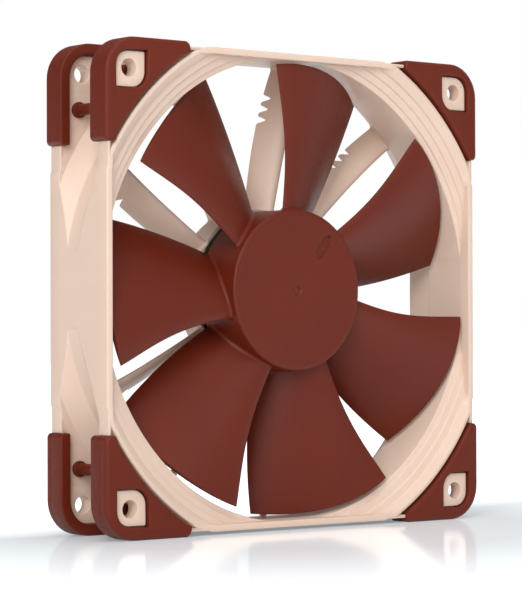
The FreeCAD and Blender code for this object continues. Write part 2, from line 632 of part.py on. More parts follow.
inside_hub = "Size.hub_radius - Size.hub_wall"
turned("RotorCup", "rotor_cup", [
    ("Size.bush_radius", "-Size.hub_front + Size.hub_wall"),
    (inside_hub, "-Size.hub_front + Size.hub_wall"),
    (inside_hub, "Size.yoke_rear"),
    (inside_hub + " - Size.yoke_wall", "Size.yoke_rear"),
    (inside_hub + " - Size.yoke_wall", "-Size.hub_front + Size.hub_wall + Size.yoke_wall"),
    ("Size.bush_radius", "-Size.hub_front + Size.hub_wall + Size.yoke_wall")])
ring("MagnetRing", "magnet_ring", "Size.magnet_bore", inside_hub + " - Size.yoke_wall",
     "Size.magnet_front", "Size.yoke_rear")
ring("ShaftBush", "shaft_bush", "Size.shaft_radius", "Size.bush_radius",
     "-Size.hub_front + Size.hub_wall", "Size.bush_rear")
turned("Shaft", "shaft", [
    ("0", "-Size.hub_front + Size.hub_wall"),
    ("Size.shaft_radius", "-Size.hub_front + Size.hub_wall"),
    ("Size.shaft_radius", "Size.clip_front"),
    ("Size.groove_radius", "Size.clip_front"),
    ("Size.groove_radius", "Size.clip_front + Size.clip_height"),
    ("Size.shaft_radius", "Size.clip_front + Size.clip_height"),
    ("Size.shaft_radius", "Size.shaft_rear - 0.4"),
    ("Size.shaft_radius - 0.4", "Size.shaft_rear"),
    ("0", "Size.shaft_rear")])
ring("RetainingClip", "retaining_clip", "Size.groove_radius", "Size.clip_radius",
     "Size.clip_front", "Size.clip_front + Size.clip_height")


# ---------------------------------------------------------------- blades and guide vanes
def blend(values, u):
    """Bezier curve through the first and last value, pulled by the ones between."""
    count = len(values) - 1
    total = 0.0
    for i, item in enumerate(values):
        total += math.comb(count, i) * (1 - u) ** (count - i) * u ** i * item
    return total


def thickness_at(x, thick, edge):
    """Half thickness of a foil at the share x of its chord from the rounded edge."""
    root = math.sqrt(x)
    shape = 2.969 * root - 1.26 * x - 3.516 * x ** 2 + 2.843 * x ** 3 - 1.036 * x ** 4
    return 0.5 * (thick * shape + edge * x)


def foil_point(shape_at, radius, place):
    """Angle and depth of a foil's surface at a radius; place runs from -1 over the round edge to 1."""
    lead, trail, lead_depth, trail_depth, camber, thick, edge = shape_at(radius)
    x = place * place
    run = radius * (trail - lead)
    fall = trail_depth - lead_depth + 4 * camber * (1 - 2 * x)
    length = math.hypot(run, fall)
    half = math.copysign(thickness_at(x, thick, edge), place)
    angle = lead + (trail - lead) * x - fall / length * half / radius
    depth = lead_depth + (trail_depth - lead_depth) * x + 4 * camber * x * (1 - x) + run / length * half
    return angle, depth


def foil_section(shape_at, middle, distance, steps):
    """Flat closed section of a foil, square to the radial direction at the middle angle."""
    points = []
    for i in range(-steps, steps + 1):
        radius = distance
        for _ in range(25):
            angle, depth = foil_point(shape_at, radius, i / steps)
            radius = distance / math.cos(angle - middle)
        points.append(Vector(radius * math.cos(angle), depth, radius * math.sin(angle)))
    curve = Part.BSplineCurve()
    curve.interpolate(points)
    return Part.Wire([curve.toShape(), Part.makeLine(points[-1], points[0])])


def foil_solid(shape_at, middle, first, last, stations, steps):
    """Solid through evenly spaced flat sections of a foil."""
    wires = []
    for i in range(stations):
        distance = first + (last - first) * i / (stations - 1)
        wires.append(foil_section(shape_at, middle, distance, steps))
    return Part.makeLoft(wires, True, False)


def tube_about_axis(inner, outer, start, end):
    """Hollow cylinder about the fan axis."""
    axis = Vector(0, 1, 0)
    outside = Part.makeCylinder(outer, end - start, Vector(0, start, 0), axis)
    inside = Part.makeCylinder(inner, end - start + 2, Vector(0, start - 1, 0), axis)
    return outside.cut(inside)


def blade_at(radius):
    """Leading and trailing edge of a blade, its bow and its thickness at a radius."""
    u = (radius - size("blade_base")) / size("blade_span")
    lead = blend([size("lead_root"), size("lead_inner"), size("lead_outer"), size("lead_tip")], u)
    trail = blend([size("trail_root"), size("trail_tip")], u)
    lead_depth = blend([size("lead_depth_root"), size("lead_depth_mid"), size("lead_depth_tip")], u)
    trail_depth = blend([size("trail_depth_root"), size("trail_depth_mid"), size("trail_depth_tip")], u)
    camber = blend([size("blade_camber_root"), size("blade_camber_tip")], u)
    thick = blend([size("blade_thick_root"), size("blade_thick_tip")], u)
    return math.radians(lead), math.radians(trail), lead_depth, trail_depth, camber, thick, size("blade_edge")


blade_middle = math.radians((size("lead_tip") + size("trail_tip")) / 2)
blade_shape = foil_solid(blade_at, blade_middle, 0.87 * size("hub_radius"), size("blade_tip") + 1.5, 10, 10)
blade_shape = blade_shape.common(tube_about_axis(size("hub_radius"), size("blade_tip"), -12.0, 6.0))
blade_shape = blade_shape.Solids[0]
for number in range(int(size("blade_count"))):
    blade = doc.addObject("Part::Feature", "Blade%d" % (number + 1))
    blade.Shape = blade_shape
    turn = 360.0 * number / size("blade_count")
    blade.Placement = Placement(Vector(0, 0, 0), Rotation(Vector(0, 1, 0), turn))
    finish(blade, "blade_%d" % (number + 1))


def vane_at(radius):
    """Front and rear edge of a guide vane, its bow and its thickness at a radius."""
    u = (radius - size("base_radius")) / (size("duct_bore") - size("base_radius"))
    rear = -size("vane_sweep") * u - size("vane_curve") * u * u
    lead = rear - blend([size("vane_lean_root"), size("vane_lean_tip")], u)
    front_edge = blend([size("vane_front_root"), size("vane_front_tip")], u)
    return (math.radians(lead), math.radians(rear), front_edge, size("vane_rear"),
            size("vane_camber"), size("vane_thick"), size("vane_edge"))


def notch_tool(radius):
    """Wedge that cuts one V notch into the rear edge of a vane."""
    u = (radius - size("base_radius")) / (size("duct_bore") - size("base_radius"))
    angle = math.radians(-size("vane_sweep") * u - size("vane_curve") * u * u)
    rear = size("vane_rear")
    out = size("notch_half")
    deep = size("notch_depth")
    start = -6.0
    corners = [Vector(radius - out * 1.3, rear + deep * 0.3, start), Vector(radius, rear - deep, start),
               Vector(radius + out * 1.3, rear + deep * 0.3, start)]
    wire = Part.makePolygon(corners + [corners[0]])
    wedge = Part.Face(wire).extrude(Vector(0, 0, 12.0))
    wedge.rotate(Vector(0, 0, 0), Vector(0, 1, 0), -math.degrees(angle))
    return wedge


doc.recompute()
airway = bore.Shape.fuse(outlet_cut.Shape)
airway = airway.cut(Part.makeCylinder(size("base_radius"), 60, Vector(0, -30, 0), Vector(0, 1, 0)))
vane_middle = -math.radians(size("vane_sweep") + size("vane_lean_root")) / 2
vane_blank = foil_solid(vane_at, vane_middle, 0.95 * size("base_radius"), size("exit_radius") + 1.5, 9, 8)
for number in range(int(size("notch_count"))):
    vane_blank = vane_blank.cut(notch_tool(size("notch_first") + number * size("notch_pitch")))
for index in range(len(VANE_ANGLES)):
    angle = size("vane_angle_%d" % (index + 1))
    vane_shape = vane_blank.copy()
    vane_shape.rotate(Vector(0, 0, 0), Vector(0, 1, 0), -angle)
    vane_shape = vane_shape.common(airway)
    largest = max(vane_shape.Solids, key=lambda solid: solid.Volume)
    vane = doc.addObject("Part::Feature", "Vane%d" % (index + 1))
    vane.Shape = largest
    finish(vane, "guide_vane_%02d" % (index + 1))

# ---------------------------------------------------------------- checks and files
doc.recompute()
for item in doc.Objects:
    if "Invalid" in item.State or "Error" in item.State:
        raise RuntimeError("%s did not recompute" % item.Name)

for item in parts:
    shape = item.Shape
    if shape.isNull() or not shape.isValid():
        raise RuntimeError("%s has no valid shape" % item.Label)
    if len(shape.Solids) != 1:
        raise RuntimeError("%s is not one solid but %d" % (item.Label, len(shape.Solids)))

os.makedirs("parts", exist_ok=True)
for item in parts:
    item.Shape.exportStep("parts/%s.step" % item.Label)
print("%d pieces" % len(parts))
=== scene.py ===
import json
import math
import bpy
from mathutils import Matrix, Vector
from mathutils.geometry import tessellate_polygon


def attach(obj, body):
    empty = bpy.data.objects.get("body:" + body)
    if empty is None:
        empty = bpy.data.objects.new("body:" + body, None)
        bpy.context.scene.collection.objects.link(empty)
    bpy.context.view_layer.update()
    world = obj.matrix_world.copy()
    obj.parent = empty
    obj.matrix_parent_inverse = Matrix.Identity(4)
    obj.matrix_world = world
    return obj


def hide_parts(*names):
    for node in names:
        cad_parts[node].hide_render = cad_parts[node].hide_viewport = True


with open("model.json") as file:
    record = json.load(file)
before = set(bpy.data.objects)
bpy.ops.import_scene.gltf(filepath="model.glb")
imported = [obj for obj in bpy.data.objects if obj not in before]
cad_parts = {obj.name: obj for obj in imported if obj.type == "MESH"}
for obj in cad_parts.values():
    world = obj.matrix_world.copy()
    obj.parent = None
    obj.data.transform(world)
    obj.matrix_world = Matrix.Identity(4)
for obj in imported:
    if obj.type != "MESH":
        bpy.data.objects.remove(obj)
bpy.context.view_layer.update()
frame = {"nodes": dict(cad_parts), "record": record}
nodes = frame["nodes"]
MM = 0.001
WAVE_SCALE = 0.314  # a wave texture of scale one repeats every 0.314 units


# ------------------------------------------------------------------ materials
def linear(red, green, blue):
    """Linear colour of an sRGB one given as 0 to 255."""
    out = []
    for part in (red, green, blue):
        share = part / 255
        out.append(share / 12.92 if share <= 0.04045 else ((share + 0.055) / 1.055) ** 2.4)
    return (*out, 1.0)


class Paint:
    """A procedural material built up from a few node helpers."""

    def __init__(self, name, roughness, metallic=0.0, specular=0.5):
        self.material = bpy.data.materials.new(name)
        self.material.use_nodes = True
        self.tree = self.material.node_tree
        self.shader = self.tree.nodes["Principled BSDF"]
        self.shader.inputs["Roughness"].default_value = roughness
        self.shader.inputs["Metallic"].default_value = metallic
        self.shader.inputs["Specular IOR Level"].default_value = specular
        self.place = self.tree.nodes.new("ShaderNodeTexCoord").outputs["Object"]

    def link(self, out, into):
        self.tree.links.new(out, into)

    def noise(self, size_mm, detail=2.0, stretch=None):
        """Noise whose blobs are about size_mm across; stretch scales its three directions."""
        node = self.tree.nodes.new("ShaderNodeTexNoise")
        node.inputs["Scale"].default_value = 1 / (size_mm * MM)
        node.inputs["Detail"].default_value = detail
        node.inputs["Roughness"].default_value = 0.5
        place = self.place
        if stretch:
            mapping = self.tree.nodes.new("ShaderNodeMapping")
            mapping.inputs["Scale"].default_value = stretch
            self.link(place, mapping.inputs["Vector"])
            place = mapping.outputs["Vector"]
        self.link(place, node.inputs["Vector"])
        return node.outputs["Fac"]

    def bands(self, size_mm, direction, distortion=0.0):
        """Bands of one period per size_mm along a direction."""
        node = self.tree.nodes.new("ShaderNodeTexWave")
        node.wave_type = "BANDS"
        node.bands_direction = direction
        node.inputs["Scale"].default_value = WAVE_SCALE / (size_mm * MM)
        node.inputs["Distortion"].default_value = distortion
        node.inputs["Detail"].default_value = 1.0
        self.link(self.place, node.inputs["Vector"])
        return node.outputs["Fac"]

    def ramp(self, factor, *stops):
        """Colour ramp; each stop is a position and a colour."""
        node = self.tree.nodes.new("ShaderNodeValToRGB")
        ramp = node.color_ramp
        while len(ramp.elements) < len(stops):
            ramp.elements.new(0.5)
        for element, (position, colour) in zip(ramp.elements, stops):
            element.position = position
            element.color = colour
        self.link(factor, node.inputs["Fac"])
        return node.outputs["Color"]

    def spread(self, factor, low, high, source_low=0.3, source_high=0.7):
        """Factor moved from a source range to a new range."""
        node = self.tree.nodes.new("ShaderNodeMapRange")
        node.inputs["From Min"].default_value = source_low
        node.inputs["From Max"].default_value = source_high
        node.inputs["To Min"].default_value = low
        node.inputs["To Max"].default_value = high
        self.link(factor, node.inputs["Value"])
        return node.outputs["Result"]

    def arithmetic(self, operation, first, second):
        """Two values joined by a math operation."""
        node = self.tree.nodes.new("ShaderNodeMath")
        node.operation = operation
        self.link(first, node.inputs[0])
        self.link(second, node.inputs[1])
        return node.outputs["Value"]

    def mix(self, factor, first, second, kind="MIX"):
        """Two colours mixed by a number or by another output."""
        node = self.tree.nodes.new("ShaderNodeMix")
        node.data_type = "RGBA"
        node.blend_type = kind
        if isinstance(factor, float):
            node.inputs[0].default_value = factor
        else:
            self.link(factor, node.inputs[0])
        self.link(first, node.inputs[6])
        self.link(second, node.inputs[7])
        return node.outputs[2]

    def bump(self, heights):
        """Bump from pairs of a height and its depth in millimetres, one on top of the other."""
        normal = None
        for height, depth in heights:
            node = self.tree.nodes.new("ShaderNodeBump")
            node.inputs["Distance"].default_value = depth * MM
            self.link(height, node.inputs["Height"])
            if normal:
                self.link(normal, node.inputs["Normal"])
            normal = node.outputs["Normal"]
        self.link(normal, self.shader.inputs["Normal"])
        return self

    def colour(self, out):
        self.link(out, self.shader.inputs["Base Color"])
        return self

    def gloss(self, out):
        self.link(out, self.shader.inputs["Roughness"])
        return self


def moulded(name, light, dark, roughness, grain, specular=0.5, depth=0.012):
    """Injection moulded plastic: faint flow clouds, fine spark-eroded grain and uneven gloss."""
    paint = Paint(name, roughness, specular=specular)
    cloud = paint.noise(24.0, 3.0)
    speck = paint.noise(0.35, 2.0)
    base = paint.ramp(cloud, (0.35, dark), (0.65, light))
    tint = paint.ramp(speck, (0.3, (1 - grain, 1 - grain, 1 - grain, 1)), (0.7, (1, 1, 1, 1)))
    paint.colour(paint.mix(1.0, base, tint, "MULTIPLY"))
    paint.gloss(paint.spread(paint.noise(1.1, 3.0), roughness - 0.05, roughness + 0.06))
    paint.bump([(paint.noise(0.16, 2.0), depth), (paint.noise(5.0, 2.0), 0.02)])
    return paint.material


def metal(name, light, dark, roughness, grain_mm, stretch, depth=0.004):
    """Drawn or turned metal with fine marks along one direction."""
    paint = Paint(name, roughness, metallic=1.0)
    marks = paint.noise(grain_mm, 3.0, stretch)
    paint.colour(paint.ramp(marks, (0.3, dark), (0.7, light)))
    paint.gloss(paint.spread(marks, roughness - 0.08, roughness + 0.1))
    paint.bump([(marks, depth)])
    return paint.material


beige = moulded("moulded_beige", linear(222, 196, 178), linear(219, 192, 174), 0.46, 0.03)
brown = moulded("moulded_brown", linear(102, 33, 14), linear(97, 30, 12), 0.42, 0.12, 0.24, 0.02)
silicone = moulded("silicone_brown", linear(101, 33, 14), linear(96, 30, 12), 0.5, 0.06, 0.22, 0.01)
steel = metal("turned_steel", linear(205, 206, 208), linear(170, 172, 176), 0.25, 0.2, (0.15, 3.0, 0.15))
brass = metal("turned_brass", linear(214, 178, 108), linear(186, 148, 84), 0.28, 0.2, (0.15, 3.0, 0.15))
sintered = metal("sintered_bronze", linear(150, 122, 84), linear(112, 88, 60), 0.5, 0.12, (1, 1, 1), 0.01)


def laminated():
    """Stack of thin electrical steel sheets."""
    paint = Paint("laminated_steel", 0.4, metallic=1.0)
    sheets = paint.bands(0.5, "Y")
    paint.colour(paint.ramp(sheets, (0.15, linear(70, 72, 76)), (0.5, linear(160, 162, 166))))
    paint.bump([(sheets, 0.03), (paint.noise(0.3), 0.005)])
    return paint.material


def wound():
    """Enamelled copper wire laid turn beside turn."""
    paint = Paint("copper_wire", 0.3, metallic=1.0)
    turns = paint.bands(0.28, "Y", distortion=0.3)
    paint.colour(paint.ramp(turns, (0.1, linear(90, 40, 20)), (0.6, linear(206, 118, 70))))
    paint.bump([(turns, 0.06)])
    return paint.material


def printed_board():
    """Dark green solder mask over copper tracks and a glass weave."""
    paint = Paint("board_mask", 0.35)
    weave = paint.mix(0.5, paint.bands(0.5, "X"), paint.bands(0.5, "Z"))
    tracks = paint.noise(2.2, 0.0)
    paint.colour(paint.ramp(tracks, (0.47, linear(20, 44, 30)), (0.5, linear(34, 74, 48)),
                            (0.53, linear(20, 44, 30))))
    paint.bump([(tracks, 0.03), (weave, 0.006)])
    return paint.material


def ferrite():
    """Dull black bonded magnet."""
    paint = Paint("ferrite", 0.62)
    grain = paint.noise(0.12, 3.0)
    paint.colour(paint.ramp(grain, (0.3, linear(34, 34, 36)), (0.7, linear(58, 58, 60))))
    paint.bump([(grain, 0.02)])
    return paint.material


def blank_foil():
    """Plain rear disc with a brushed look and no print."""
    paint = Paint("rear_foil", 0.36)
    marks = paint.noise(0.5, 3.0, (0.05, 1.0, 1.6))
    paint.colour(paint.ramp(marks, (0.3, linear(100, 42, 32)), (0.7, linear(110, 47, 36))))
    paint.gloss(paint.spread(marks, 0.3, 0.44))
    paint.bump([(marks, 0.006), (paint.noise(3.0), 0.01)])
    return paint.material


FINISHES = {
    "frame_plastic": beige,
    "pad_silicone": silicone,
    "impeller_plastic": brown,
    "steel": steel,
    "brass": brass,
    "magnet": ferrite(),
    "laminations": laminated(),
    "insulator_plastic": moulded("white_nylon", linear(232, 230, 220), linear(220, 217, 205), 0.5, 0.03),
    "copper_winding": wound(),
    "board": printed_board(),
    "chip_plastic": moulded("chip_epoxy", linear(44, 44, 46), linear(34, 34, 36), 0.55, 0.2),
    "seal_rubber": moulded("nitrile_rubber", linear(38, 36, 35), linear(28, 27, 26), 0.7, 0.15),
    "rear_disc": blank_foil(),
}

slot_of = {}
for entry in frame["record"]["subparts"]:
    slot_of[entry["node"]] = entry["material_slot"]
for name, obj in nodes.items():
    obj.data.materials.clear()
    obj.data.materials.append(FINISHES[slot_of[name]])
nodes["bearing_sleeve"].data.materials[0] = sintered


# ------------------------------------------------------------------ mesh helpers
def add_piece(name, points, faces, body, slot, stands_for=(), sharp=32.0):
    """Mesh piece from points in millimetres, riding on a body."""
    mesh = bpy.data.meshes.new(name)
    mesh.from_pydata([Vector(p) * MM for p in points], [], faces)
    mesh.validate()
    mesh.update()
    obj = bpy.data.objects.new(name, mesh)
    bpy.context.scene.collection.objects.link(obj)
    mesh.materials.append(FINISHES[slot])
    for polygon in mesh.polygons:
        polygon.use_smooth = True
    mesh.set_sharp_from_angle(angle=math.radians(sharp))
    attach(obj, body)
    if stands_for:
        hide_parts(*stands_for)
    return obj


def around(radius, degrees, depth):
    """Point at a radius and an angle from +X towards +Z, at a depth along the fan axis."""
    turn = math.radians(degrees)
    return (radius * math.cos(turn), depth, radius * math.sin(turn))


def grid_faces(rows, columns, closed_rows=False, closed_columns=False, start=0):
    """Quads of a grid of points stored row by row."""
    faces = []
    for i in range(rows if closed_rows else rows - 1):
        for j in range(columns if closed_columns else columns - 1):
            a = start + i * columns + j
            b = start + i * columns + (j + 1) % columns
            c = start + ((i + 1) % rows) * columns + (j + 1) % columns
            d = start + ((i + 1) % rows) * columns + j
            faces.append((a, b, c, d))
    return faces


def rounded(corners, closed=True, steps=5):
    """Plane outline whose corners, each (x, y, radius), are replaced by arcs."""
    out = []
    count = len(corners)
    for i, (x, y, radius) in enumerate(corners):
        if radius <= 0 or (not closed and i in (0, count - 1)):
            out.append((x, y))
            continue
        here = Vector((x, y))
        before = Vector(corners[i - 1][:2]) - here
        after = Vector(corners[(i + 1) % count][:2]) - here
        if before.length < 1e-9 or after.length < 1e-9:
            out.extend([(x, y)] * (steps + 1))
            continue
        opening = before.angle(after)
        if opening > math.pi - 1e-4 or opening < 1e-4:
            out.extend([(x, y)] * (steps + 1))
            continue
        reach = radius / math.tan(opening / 2)
        limit = 0.49 * min(before.length, after.length)
        if reach > limit:
            reach = limit
        radius_used = reach * math.tan(opening / 2)
        middle = (before.normalized() + after.normalized()).normalized()
        centre = here + middle * (radius_used / math.sin(opening / 2))
        start = here + before.normalized() * reach - centre
        end = here + after.normalized() * reach - centre
        sweep = start.angle_signed(end)
        for k in range(steps + 1):
            turn = -sweep * k / steps
            c, s = math.cos(turn), math.sin(turn)
            out.append((centre.x + start.x * c - start.y * s, centre.y + start.x * s + start.y * c))
    return out


def lathe(profile, degrees_list):
    """Points of an open profile of (radius, depth) turned to each angle."""
    points = []
    for degrees in degrees_list:
        points.extend(around(radius, degrees, depth) for radius, depth in profile)
    return points


def smooth(low, high, value):
    """Share from 0 to 1 that eases in and out between two values."""
    share = min(1.0, max(0.0, (value - low) / (high - low)))
    return share * share * (3 - 2 * share)


def bezier(values, u):
    """Value of a Bezier curve at a share of its length."""
    count = len(values) - 1
    return sum(math.comb(count, i) * (1 - u) ** (count - i) * u ** i * v for i, v in enumerate(values))


# ------------------------------------------------------------------ foils
END_POINTS = 4
THICKNESS_CURVE = (2.969, -1.26, -3.516, 2.843, -1.036)


def foil_outline(foil, radius, steps=22, end=1.0):
    """Closed section of a foil at a radius as (distance round the axis, depth), from its rear edge.

    The section stops at the share end of its chord."""
    lead, trail, lead_depth, trail_depth, camber, thick, edge = foil
    run = radius * math.radians(trail - lead)
    drop = trail_depth - lead_depth

    def skin(x, side):
        fall = drop + 4 * camber * (1 - 2 * x)
        length = math.hypot(run, fall)
        root, *rest = THICKNESS_CURVE
        shape = root * math.sqrt(x) + sum(share * x ** (i + 1) for i, share in enumerate(rest))
        half = side * 0.5 * (thick * shape + edge * x)
        return Vector((run * x - fall / length * half, lead_depth + drop * x + 4 * camber * x * (1 - x)
                       + run / length * half))

    shares = [end * (k / steps) ** 2 for k in range(steps + 1)]
    out = [skin(x, 1) for x in reversed(shares)]
    out += [skin(x, -1) for x in shares[1:]]
    top, low = out[0], out[-1]
    centre = (top + low) / 2
    behind = Vector((run, drop + 4 * camber * (1 - 2 * end))).normalized() * (top - low).length * 0.4
    for k in range(1, END_POINTS + 1):
        turn = math.pi * k / (END_POINTS + 1)
        out.append(centre + (low - centre) * math.cos(turn) + behind * math.sin(turn))
    return out


def grown(outline, distance):
    """Closed outline moved outward along its own normals, by one distance or one for each point."""
    count = len(outline)
    if not hasattr(distance, "__len__"):
        distance = [distance] * count
    area = sum(outline[i - 1].cross(outline[i]) for i in range(count))
    side = 1 if area > 0 else -1
    out = []
    for i in range(count):
        along = (outline[(i + 1) % count] - outline[i - 1]).normalized()
        out.append(outline[i] + Vector((along.y, -along.x)) * side * distance[i])
    return out


def fillet_growth(distance, radius):
    """How far a surface stands out beside a wall, at a distance from it, inside a fillet."""
    if distance >= radius:
        return 0.0
    short = radius - max(distance, 0.0)
    return radius - math.sqrt(max(radius * radius - short * short, 0.0))


def edge_shrink(distance, radius):
    """How far a surface draws in close to a rounded end, at a distance from that end."""
    if distance >= radius:
        return 0.0
    short = radius - max(distance, 0.0)
    return -(radius - math.sqrt(max(radius * radius - short * short, 0.0)))


def capped_loft(rows, columns):
    """Faces of a tube of closed rows, with both ends closed by strips from one skin to the other."""
    faces = grid_faces(rows, columns, closed_columns=True)
    for start, flip in ((0, True), ((rows - 1) * columns, False)):
        low, high = 0, columns - END_POINTS - 1
        while high - low > 1:
            quad = (start + low, start + low + 1, start + high - 1, start + high)
            if high - low == 2:
                quad = (start + low, start + low + 1, start + high)
            faces.append(quad[::-1] if flip else quad)
            low, high = low + 1, high - 1
        tail = [start] + [start + columns - END_POINTS - 1 + k for k in range(END_POINTS + 1)]
        faces.append(tuple(tail) if not flip else tuple(tail[::-1]))
    return faces


BLADE_BASE = 20.0
BLADE_SPAN = 36.0
BLADE_TIP = 56.9
HUB_RADIUS = 20.3
BLADE_COUNT = 7
ROOT_FILLET = 0.9
TIP_ROUND = 0.28


def blade_foil(radius):
    """Foil of a rotor blade at a radius: angles and depths of both edges, camber, thickness and edge."""
    u = (radius - BLADE_BASE) / BLADE_SPAN
    return (bezier([148.9, 142.1, 146.3, 147.5], u), bezier([103.7, 110.3], u),
            bezier([-8.1, -8.6, -9.9], u), bezier([1.8, 2.9, 1.8], u),
            bezier([-2.0, -3.2], u), bezier([2.3, 1.5], u), 0.6)


def stations(low, high, near_low, near_high, step):
    """Radii from low to high, close together near both ends."""
    out = [low + d for d in near_low]
    count = int((high - low) / step)
    out += [low + (high - low) * k / count for k in range(1, count)]
    out += [high - d for d in near_high]
    return sorted(set(round(r, 4) for r in out))


blade_radii = stations(HUB_RADIUS - 0.4, BLADE_TIP, (0, 0.4, 0.45, 0.5, 0.6, 0.75, 0.95, 1.15, 1.3),
                       (0.0, 0.02, 0.06, 0.12, 0.2, 0.28, 0.6), 1.5)
for number in range(BLADE_COUNT):
    turn = 360 * number / BLADE_COUNT
    points = []
    for radius in blade_radii:
        outline = foil_outline(blade_foil(radius), radius)
        growth = fillet_growth(radius - HUB_RADIUS, ROOT_FILLET)
        growth += edge_shrink(BLADE_TIP - radius, TIP_ROUND)
        start = blade_foil(radius)[0] - turn
        for across, depth in grown(outline, growth):
            points.append(around(radius, start + math.degrees(across / radius), depth))
    columns = len(points) // len(blade_radii)
    add_piece("rotor_blade_%d" % (number + 1), points, capped_loft(len(blade_radii), columns), "rotor",
              "impeller_plastic", ["blade_%d" % (number + 1)], 50)

# ------------------------------------------------------------------ hub
HUB_FRONT = -10.9
HUB_REAR = 3.0
HUB_WALL = 1.5
HUB_ROUND = 1.5
SLOT_ANGLE = 52.0
SLOT_RADIUS = 13.9
SLOT_REACH = 2.0
SLOT_HALF = 1.4
SLOT_DEPTH = 0.6


def hub_face_depth(radius, degrees):
    """Front face of the hub with its sunk slot and its centre mark."""
    turn = math.radians(degrees - SLOT_ANGLE)
    along = radius * math.cos(turn) - SLOT_RADIUS
    aside = radius * math.sin(turn)
    beyond = max(abs(along) - SLOT_REACH, 0.0)
    sunk = SLOT_DEPTH * (1 - smooth(-0.16, 0.1, math.hypot(beyond, aside) - SLOT_HALF))
    mark = 0.3 * (1 - smooth(1.15, 1.45, radius)) - 0.22 * (1 - smooth(0.35, 0.75, radius))
    return HUB_FRONT + sunk + mark


face_radii = [0.15, 0.35, 0.45, 0.55, 0.65, 0.75, 0.95, 1.15, 1.2, 1.25, 1.3, 1.35, 1.4, 1.45]
face_radii += [1.7, 2.5, 4, 6, 8]
face_radii += [9.6 + 0.13 * k for k in range(66)]
face_radii += [18.4]
hub_angles = [SLOT_ANGLE + 18 + 3.0 * k for k in range(108)] + [SLOT_ANGLE - 18 + 0.4 * k for k in range(90)]
outer = rounded([(18.7, HUB_FRONT, 0), (HUB_RADIUS, HUB_FRONT, HUB_ROUND), (HUB_RADIUS, HUB_REAR, 0.25),
                 (HUB_RADIUS - HUB_WALL, HUB_REAR, 0.25), (HUB_RADIUS - HUB_WALL, HUB_FRONT + HUB_WALL, 0.4),
                 (0.4, HUB_FRONT + HUB_WALL, 0)], closed=False, steps=8)
points = []
for degrees in hub_angles:
    points += [around(radius, degrees, hub_face_depth(radius, degrees)) for radius in face_radii]
    points += [around(radius, degrees, depth) for radius, depth in outer]
columns = len(face_radii) + len(outer)
faces = grid_faces(len(hub_angles), columns, closed_rows=True)
front_ring = [i * columns for i in range(len(hub_angles))]
back_ring = [i * columns + columns - 1 for i in range(len(hub_angles))]
faces += [tuple(front_ring), tuple(reversed(back_ring))]
add_piece("rotor_hub", points, faces, "rotor", "impeller_plastic", ["hub_shell"], 50)

# ------------------------------------------------------------------ frame outline
SIDE_HALF = 59.2
SIDE_RECESS = 0.35
RECESS_START = 28.6
RECESS_SLOPE = 0.6
RIM = 12.2
RING = 66.6
BORE = 58.2
MOUTH_HALF = 57.5
EXIT_HALF = 58.3
EXIT_START = 4.0
EXIT_RADIUS = 63.0
FLANGE = 8.0
LOWERED = 10.6
INLET = [(58.2, -8.9), (59.6, -9.08), (59.8, -9.6), (61.55, -9.82), (61.75, -10.35), (63.5, -10.57),
         (63.7, -11.1), (65.6, -12.2)]
WAIST_REAR = [(60.0, 4.4), (64.4, 8.0)]
WAIST_FRONT = [(60.0, 0.0), (61.75, -3.04), (63.4, -5.52), (66.0, -8.0)]


def fold(degrees):
    """Angle from the nearest of the four axes."""
    return (degrees + 45.0) % 90.0 - 45.0


def flat_limit(half, degrees):
    """Radius at which a square of this half width is met at an angle."""
    return half / math.cos(math.radians(fold(degrees)))


def side_limit(degrees):
    """Radius of the flat outer side, which is a little lower beside the pads."""
    aside = SIDE_HALF * math.tan(math.radians(abs(fold(degrees))))
    low, high = RECESS_START - RECESS_SLOPE, RECESS_START + RECESS_SLOPE
    return flat_limit(SIDE_HALF - SIDE_RECESS * smooth(low, high, aside), degrees)


def clipped(path, limit):
    """Path of rising radius whose points past a limit are drawn back along it."""
    out = []
    for i, (radius, depth) in enumerate(path):
        if radius <= limit:
            out.append((radius, depth))
        elif i and path[i - 1][0] < limit:
            before, start = path[i - 1]
            share = (limit - before) / (radius - before)
            out.append((limit, start + (depth - start) * share))
        else:
            out.append(out[-1] if out else (limit, depth))
    return out


def exit_wall(degrees, depth):
    """Radius of the airway behind the rotor at an angle and depth."""
    flare = BORE + (EXIT_RADIUS - BORE) * max(0.0, depth - EXIT_START) / (RIM - EXIT_START)
    return max(BORE, min(flare, flat_limit(EXIT_HALF, degrees), EXIT_RADIUS))


def duct_section(degrees):
    """Closed section of the duct, its rims and its waist at an angle."""
    side = side_limit(degrees)
    rim = min(side, RING)
    mouth = flat_limit(MOUTH_HALF, degrees)
    steps = clipped(INLET, mouth)
    top = min(mouth, INLET[-1][0])
    corners = [(rim, -RIM, 0.45), (top, -RIM, 0.3)]
    corners += [(radius, depth, 0.16) for radius, depth in reversed(steps[1:-1])]
    corners += [(*steps[0], 0.3), (BORE, EXIT_START, 1.2)]
    out = min(max(BORE, flat_limit(EXIT_HALF, degrees)), EXIT_RADIUS)
    flare = EXIT_START + (out - BORE) / (EXIT_RADIUS - BORE) * (RIM - EXIT_START)
    corners += [(out, min(flare, RIM - 0.5), 0.3), (out, RIM, 0.3), (rim, RIM, 0.45), (rim, FLANGE, 0.25)]
    rear = clipped(WAIST_REAR, rim)
    corners += [(*rear[1], 0.4), (*clipped(WAIST_REAR, side)[0], 0.8)]
    front = clipped(WAIST_FRONT, side)
    corners += [(*point, 0.5) for point in front]
    corners += [(rim, -FLANGE, 0.25)]
    return corners


